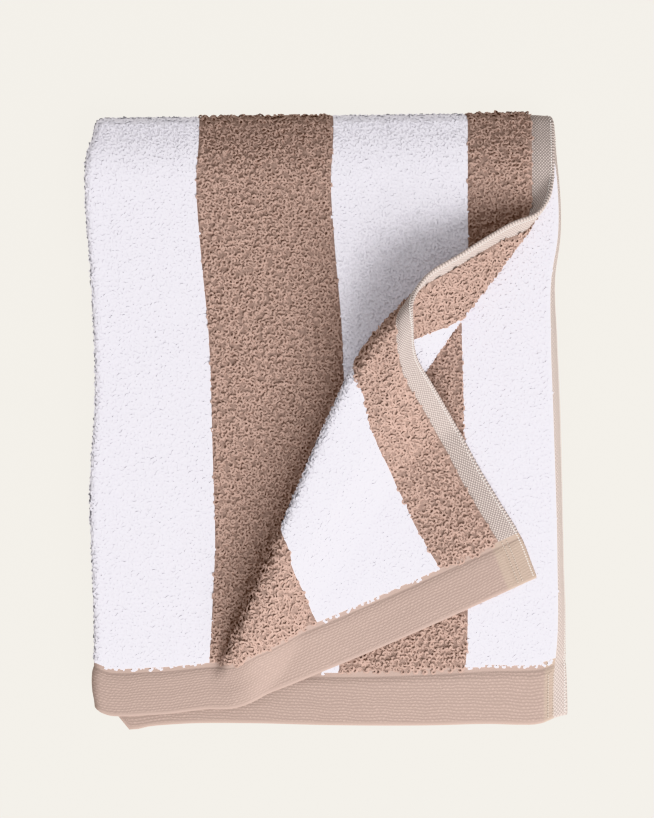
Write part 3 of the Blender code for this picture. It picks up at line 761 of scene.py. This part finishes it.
class Recipe:
    """A material's nodes, put together one call at a time."""

    def __init__(self, name, roughness):
        self.material = bpy.data.materials.new(name)
        self.material.use_nodes = True
        self.tree = self.material.node_tree
        self.shader = self.tree.nodes["Principled BSDF"]
        self.fill(self.shader, {"Roughness": roughness, "Specular IOR Level": 0.2})

    def fill(self, node, inputs):
        """Links or sets the node's inputs, by name or number."""
        for key, value in inputs.items():
            if isinstance(value, bpy.types.NodeSocket):
                self.tree.links.new(value, node.inputs[key])
            else:
                node.inputs[key].default_value = value

    def node(self, kind, inputs=(), **settings):
        """A new node with its settings and inputs."""
        made = self.tree.nodes.new(kind)
        for key, value in settings.items():
            setattr(made, key, value)
        self.fill(made, dict(inputs))
        return made

    def maths(self, operation, *values):
        return self.node("ShaderNodeMath", dict(enumerate(values)), operation=operation).outputs[0]

    def ramp(self, value, start, end):
        """0 below start, 1 above end and a smooth rise between."""
        inputs = {"Value": value, "From Min": start, "From Max": end}
        made = self.node("ShaderNodeMapRange", inputs, interpolation_type="SMOOTHSTEP")
        return made.outputs["Result"]

    def scaled(self, value, by, plus=0.0):
        """The value times by, and plus more."""
        return self.maths("MULTIPLY_ADD", value, by, plus)

    def falling(self, value, start, end):
        """1 below start, 0 above end."""
        return self.maths("SUBTRACT", 1.0, self.ramp(value, start, end))

    def mixed(self, share, first, second, blend="MIX"):
        inputs = {0: share, 6: first, 7: second}
        return self.node("ShaderNodeMix", inputs, data_type="RGBA", blend_type=blend).outputs[2]

    def noise(self, scale, detail=2.0):
        inputs = {"Vector": self.place(), "Scale": scale, "Detail": detail}
        return self.node("ShaderNodeTexNoise", inputs).outputs["Fac"]

    def place(self):
        return self.node("ShaderNodeTexCoord").outputs["Object"]

    def map(self, name):
        """The two numbers of a UV map."""
        made = self.node("ShaderNodeUVMap", uv_map=name)
        parts = self.node("ShaderNodeSeparateXYZ", {0: made.outputs[0]})
        return parts.outputs[0], parts.outputs[1]

    def wave(self, phase):
        """A sine from 0 to 1, once for each whole number of the phase."""
        return self.scaled(self.maths("SINE", self.scaled(phase, 2 * np.pi)), 0.5, 0.5)

    def finish(self, colour, height=None, strength=0.5, distance=0.0003):
        self.fill(self.shader, {"Base Color": colour})
        if height is not None:
            inputs = {"Height": height, "Strength": strength, "Distance": distance}
            self.fill(self.shader, {"Normal": self.node("ShaderNodeBump", inputs).outputs[0]})
        return self.material


def opaque(colour, share=1.0):
    """The colour as four numbers, its brightness times the share."""
    return (*(part * share for part in colour[:3]), 1.0)


def pile_material(name, colour, root_shade, shade_spread):
    """Looped yarn: darker towards its feet, which is painted shade in the gaps between the loops; each loop
    of its own tone, in patches that vary slowly.
    """
    made = Recipe(name, 0.9)
    shade, height = made.map("Pile")
    # Darker towards the feet by root_shade: painted shade in the gaps between the loops.
    whole = made.mixed(made.ramp(height, 0.0, 0.95), opaque(colour, root_shade), opaque(colour))
    slow = made.scaled(made.noise(60.0, 3.0), 0.14, 0.93)
    bright = made.maths("MULTIPLY", made.scaled(shade, shade_spread, 1 - shade_spread / 2), slow)
    grey = made.node("ShaderNodeCombineColor", {0: bright, 1: bright, 2: bright}).outputs[0]
    return made.finish(made.mixed(1.0, whole, grey, "MULTIPLY"))


def ground_material(name, colour, patches, pit_shade):
    """The cloth that the loops stand on, and the pile where it is pressed between layers: a fine,
    close pebbling, darker in its pits with painted shade."""
    made = Recipe(name, 0.95)
    inputs = {"Vector": made.place(), "Scale": 520.0}
    cells = made.node("ShaderNodeTexVoronoi", inputs).outputs["Distance"]
    height = made.maths("SUBTRACT", 1.0, cells)
    # Darker in the pebbling's pits, by pit_shade: painted shade.
    dark = made.ramp(cells, 0.25, 0.75)
    patch = made.mixed(made.noise(60.0), opaque(colour, patches), opaque(colour))
    return made.finish(made.mixed(dark, patch, opaque(colour, pit_shade)), height, 0.6, 0.0006)


def band_material(colours, sizes):
    """The flat woven end band: fine broken ribs along it, a smooth strip beside the pile, a sunken
    line of stitches darkened with painted shade, a smooth turned edge, and a warmer stretch where the side
    hem crosses it."""
    made = Recipe("end_band", 0.8)
    u, v = made.map("Cloth")
    drift = made.noise(90.0)
    broken = made.noise(700.0)
    rib = 1 / sizes.rib_gap
    phase = made.scaled(v, rib, made.scaled(u, rib / 30))
    ribs = made.wave(made.scaled(broken, 0.7, made.scaled(drift, 1.5, phase)))
    dash = made.scaled(u, rib / 1.5, made.scaled(v, rib / 1.9))
    dashes = made.wave(made.scaled(broken, 1.2, made.scaled(drift, 1.6, dash)))
    weave = made.maths("MULTIPLY", ribs, made.scaled(dashes, 0.75, 0.25))

    from_end = made.maths("MINIMUM", v, made.maths("SUBTRACT", LENGTH * MM, v))
    from_edge = made.maths("MINIMUM", u, made.maths("SUBTRACT", WIDTH * MM, u))
    beside = made.ramp(from_end, *BAND_BESIDE)
    smooth = made.maths("MAXIMUM", made.falling(from_end, *BAND_TURNED), beside)
    weave = made.scaled(made.maths("SUBTRACT", 0.6, weave), smooth, weave)
    colour = made.mixed(weave, opaque(colours.band, 0.84), opaque(colours.band, 1.14))
    patch = made.noise(45.0, 3.0)
    colour = made.mixed(made.scaled(patch, 0.25), colour, opaque(colours.band, 0.8))
    warm = made.falling(from_edge, *BAND_WARM)
    colour = made.mixed(made.scaled(warm, 0.7), colour, opaque(colours.band_end))
    # The sunken seam is drawn darker: painted shade in its groove.
    seam_shade = made.maths("ABSOLUTE", made.maths("SUBTRACT", from_end, BAND_SEAM))
    seam_shade = made.falling(seam_shade, *SEAM_SIDES)
    colour = made.mixed(made.scaled(seam_shade, 0.5), colour, opaque(colours.band, 0.6))
    return made.finish(colour, weave, 0.6, 0.00025)


def hem_material(name, colour, dark, light):
    """The turned side hem: a close weave of pale dots set cornerwise."""
    made = Recipe(name, 0.85)
    u, v = made.map("Cloth")
    drift = made.scaled(made.noise(260.0), 0.5)
    one = made.wave(made.scaled(made.maths("ADD", u, v), DOTS, drift))
    other = made.wave(made.scaled(made.maths("SUBTRACT", u, v), DOTS, drift))
    dots = made.maths("POWER", made.maths("MULTIPLY", one, other), 0.7)
    dotted = made.mixed(dots, opaque(colour, dark), opaque(colour, light))
    patch = made.scaled(made.noise(50.0, 3.0), 0.2)
    return made.finish(made.mixed(patch, dotted, opaque(colour, 0.8)), dots, 0.7, 0.0003)


def thread_material(name, colour):
    """Sewing thread: a slight change of shade along each row."""
    made = Recipe(name, 0.6)
    patch = made.noise(700.0)
    return made.finish(made.mixed(patch, opaque(colour, 0.85), opaque(colour)))


# ---------------------------------------------------------------- settings


def colour_property(name, description, default):
    return FloatVectorProperty(
        name=name, description=description, default=default, subtype="COLOR", size=3, min=0, max=1
    )


def number_property(name, description, default):
    return FloatProperty(name=name, description=description, default=default)


def length_property(name, description, default):
    return FloatProperty(
        name=name, description=description, default=default, min=0, subtype="DISTANCE", unit="LENGTH"
    )


class PileSizes(bpy.types.PropertyGroup):
    brown_gap: length_property("Brown loop gap", "From one brown loop to the next", 0.00199)
    brown_width: length_property("Brown loop width", "Between a brown loop's two feet", 0.0019)
    brown_height: length_property("Brown loop height", "From a brown loop's feet to its top", 0.0021)
    brown_yarn: length_property("Brown yarn width", "Thickness of the brown yarn", 0.0012)
    white_gap: length_property("White loop gap", "From one white loop to the next", 0.00209)
    white_width: length_property("White loop width", "Between a white loop's two feet", 0.0017)
    white_height: length_property("White loop height", "From a white loop's feet to its top", 0.0009)
    white_yarn: length_property("White yarn width", "Thickness of the white yarn", 0.0013)
    rib_gap: length_property("Rib gap", "From one rib of the end band to the next", 0.0014)
    least_lean: number_property("Least lean", "Of a loop, in degrees", 48.0)
    most_lean: number_property("Most lean", "Of a loop, in degrees", 80.0)
    brown_evenness: number_property("Brown evenness", "How far brown shades as one", 0.5)
    white_evenness: number_property("White evenness", "How far white shades as one", 0.95)
    seed: IntProperty(name="Seed", description="Starts the loops' random turns", default=7)


class ClothColours(bpy.types.PropertyGroup):
    brown: colour_property("Brown pile", "Yarn of the taupe stripes", (0.415, 0.287, 0.24))
    white: colour_property("White pile", "Yarn of the white stripes", (0.838, 0.808, 0.87))
    band: colour_property("End band", "Flat woven band", (0.37, 0.275, 0.238))
    band_end: colour_property("Band ends", "Where the side hem crosses the band", (0.39, 0.305, 0.245))
    hem: colour_property("Side hem", "Turned hem along each side", (0.385, 0.325, 0.3))
    back_hem: colour_property("Hem's back", "The side hem on the second face", (0.5, 0.42, 0.385))
    chain: colour_property("Chain stitches", "Thread across the band's ends", (0.5, 0.42, 0.36))
    stitch: colour_property("Stitches", "Sewing thread along the edges", (0.9, 0.86, 0.82))


class StageSettings(bpy.types.PropertyGroup):
    floor: colour_property("Floor", "Plain pale floor", (0.95, 0.92, 0.86))
    floor_glow: number_property("Floor glow", "Light that the floor gives off", 1.1)
    floor_tint: number_property("Floor tint", "Share of the light that falls on it", 0.07)
    key: number_property("Key light", "Power of the soft light from the front right", 36.0)
    sky: number_property("Surround", "Strength of the even light all round", 0.73)
    distance: length_property("Camera distance", "From the lens to the towel's top", 3.0)


# ---------------------------------------------------------------- operators


class TOWEL_OT_cloth(bpy.types.Operator):
    """Make the folded sheet of cloth with its end bands and side hems"""

    bl_idname = "hand_towel.cloth"
    bl_label = "Cloth"

    def execute(self, context):
        colours, sizes = context.scene.towel_colours, context.scene.towel_pile
        materials = [
            # The brown ground is drawn at 0.8 of the yarn's colour: painted shade in the gaps between the
            # loops. Of the last two numbers, the first darkens random patches and the second the pits, with
            # painted shade.
            ground_material("brown_ground", opaque(colours.brown, 0.8), 0.86, 0.75),
            ground_material("white_ground", opaque(colours.white), 0.95, 0.88),
            band_material(colours, sizes),
            hem_material("side_hem", colours.hem, 0.62, 1.8),
            hem_material("side_hem_back", colours.back_hem, 0.66, 1.42),
        ]
        add_piece("towel_cloth", cloth_mesh(), materials, replaced=["towel"])
        return {"FINISHED"}


class TOWEL_OT_pile(bpy.types.Operator):
    """Stand loops of yarn on both faces of the stripes wherever they show"""

    bl_idname = "hand_towel.pile"
    bl_label = "Pile"

    def execute(self, context):
        colours, sizes = context.scene.towel_colours, context.scene.towel_pile
        chance = np.random.default_rng(sizes.seed)
        materials = {
            # The brown loops' feet are drawn at 0.92 of their colour: painted shade between the loops. The
            # white ones get none.
            "brown": pile_material("brown_pile", colours.brown, 0.92, 0.1),
            "white": pile_material("white_pile", colours.white, 1.0, 0.01),
        }
        feet = {"brown": [], "white": []}
        for side in (1, -1):
            sight = shown(side)
            start = HEM if side > 0 else BACK_HEM
            for end, colour in STRIPES:
                last = end if end < WIDTH - HEM or side > 0 else WIDTH - BACK_HEM
                gap = getattr(sizes, f"{colour}_gap") / MM
                u, v, leaning = loop_feet(start, last, side, sight, chance, gap)
                feet[colour].append(np.stack([u, v, np.full(len(u), side), leaning], -1))
                start = end
        for colour, groups in feet.items():
            rows = np.concatenate(groups)
            bends = LOOP_BENDS[colour]
            triangles = 2 * LOOP_SIDES * bends + 2 * (LOOP_SIDES - 2)
            parts = int(np.ceil(len(rows) * triangles / PIECE_TRIANGLES))
            shape = [getattr(sizes, f"{colour}_{what}") / MM for what in ("width", "height", "yarn")]
            leans, evenness = (sizes.least_lean, sizes.most_lean), getattr(sizes, f"{colour}_evenness")
            for number, part in enumerate(np.array_split(rows, parts), 1):
                name = f"{colour}_pile_{number}"
                mesh = loops_mesh(name, *part.T, chance, bends, *shape, leans, evenness)
                add_piece(name, mesh, [materials[colour]])
        return {"FINISHED"}


class TOWEL_OT_stitches(bpy.types.Operator):
    """Sew the rows of stitches along both long edges and across the end bands"""

    bl_idname = "hand_towel.stitches"
    bl_label = "Stitches"

    def execute(self, context):
        colours = context.scene.towel_colours
        inset, gap, length, width = EDGE_STITCH
        v = np.arange(gap, LENGTH - gap, gap)
        u = np.repeat([inset, WIDTH - inset], len(v))
        thread = thread_material("pale_thread", colours.stitch)
        sew("edge_stitches", thread, u, np.tile(v, 2), EDGE_STITCH_RUN, length, width, EDGE_STITCH_LIFT)

        gap, length, width = CHAIN_STITCH
        rows = np.meshgrid(CHAIN_ROWS, np.arange(gap, BAND - gap / 2, gap), indexing="ij")
        u, v = rows[0].ravel(), rows[1].ravel()
        u, v = np.concatenate([u, WIDTH - u] * 2), np.concatenate([v, v, LENGTH - v, LENGTH - v])
        thread = thread_material("band_thread", colours.chain)
        sew("chain_stitches", thread, u, v, CHAIN_STITCH_RUN, length, width, 0.0)
        return {"FINISHED"}


class TOWEL_OT_stage(bpy.types.Operator):
    """Set the floor, the lights and the camera"""

    bl_idname = "hand_towel.stage"
    bl_label = "Stage"

    def execute(self, context):
        settings = context.scene.towel_stage
        add_floor(settings)
        add_lights(context, settings)
        add_camera(context, settings)
        return {"FINISHED"}


FLOOR_SIZE = 4000.0
PLAN_WIDTH = 425.4  # millimetres that the picture's long side covers at the towel's top
VIEW_CENTRE = (0.65, 5.57)
TOP_LEVEL = 27.5
SENSOR = 36.0
KEY_FROM = (0.36, -0.63, 0.68)  # direction of the key light, from the towel
KEY_DISTANCE = 1.5
KEY_SIZE = 1.4


def add_floor(settings):
    half = FLOOR_SIZE / 2
    points = np.array([(-half, -half, 0), (half, -half, 0), (half, half, 0), (-half, half, 0)], float)
    mesh = mesh_of("floor", points, np.arange(4), np.array([4]))
    made = Recipe("floor", 1.0)
    looks = {"Base Color": opaque(settings.floor, settings.floor_tint), "Specular IOR Level": 0.0}
    looks.update({"Emission Color": opaque(settings.floor), "Emission Strength": settings.floor_glow})
    made.fill(made.shader, looks)
    mesh.materials.append(made.material)
    placed_object("floor", mesh)


def add_lights(context, settings):
    world = bpy.data.worlds.new("surround")
    world.use_nodes = True
    background = world.node_tree.nodes["Background"]
    background.inputs["Color"].default_value = (1.0, 1.0, 1.0, 1.0)
    background.inputs["Strength"].default_value = settings.sky
    context.scene.world = world
    light = bpy.data.lights.new("key", "AREA")
    light.shape = "DISK"
    light.size = KEY_SIZE
    light.energy = settings.key
    key = placed_object("key", light)
    away = Vector(KEY_FROM).normalized()
    key.location = away * KEY_DISTANCE
    key.rotation_euler = away.to_track_quat("Z", "Y").to_euler()
    context.scene.view_settings.view_transform = "Khronos PBR Neutral"


def add_camera(context, settings):
    lens = bpy.data.cameras.new("camera")
    lens.sensor_width = SENSOR
    lens.lens = SENSOR * settings.distance / (PLAN_WIDTH * MM)
    lens.clip_end = 20.0
    camera = placed_object("camera", lens)
    camera.location = (VIEW_CENTRE[0] * MM, VIEW_CENTRE[1] * MM, TOP_LEVEL * MM + settings.distance)
    context.scene.camera = camera


class TOWEL_PT_panel(bpy.types.Panel):
    """The towel's pieces and settings"""

    bl_idname = "TOWEL_PT_panel"
    bl_label = "Hand Towel"
    bl_space_type = "VIEW_3D"
    bl_region_type = "UI"
    bl_category = "Hand Towel"

    def draw(self, context):
        layout = self.layout
        for operator in OPERATORS:
            layout.operator(operator.bl_idname)
        for group in GROUPS:
            settings = getattr(context.scene, group)
            box = layout.box()
            for name in GROUPS[group].__annotations__:
                box.prop(settings, name)


GROUPS = {"towel_pile": PileSizes, "towel_colours": ClothColours, "towel_stage": StageSettings}
OPERATORS = (TOWEL_OT_cloth, TOWEL_OT_pile, TOWEL_OT_stitches, TOWEL_OT_stage)


def register():
    for made in (*GROUPS.values(), *OPERATORS, TOWEL_PT_panel):
        bpy.utils.register_class(made)
    for name, group in GROUPS.items():
        setattr(bpy.types.Scene, name, PointerProperty(type=group))


def unregister():
    for name in GROUPS:
        delattr(bpy.types.Scene, name)
    for made in reversed((*GROUPS.values(), *OPERATORS, TOWEL_PT_panel)):
        bpy.utils.unregister_class(made)


def main():
    register()
    bpy.ops.hand_towel.cloth()
    bpy.ops.hand_towel.pile()
    bpy.ops.hand_towel.stitches()
    bpy.ops.hand_towel.stage()


if __name__ == "__main__":
    main()
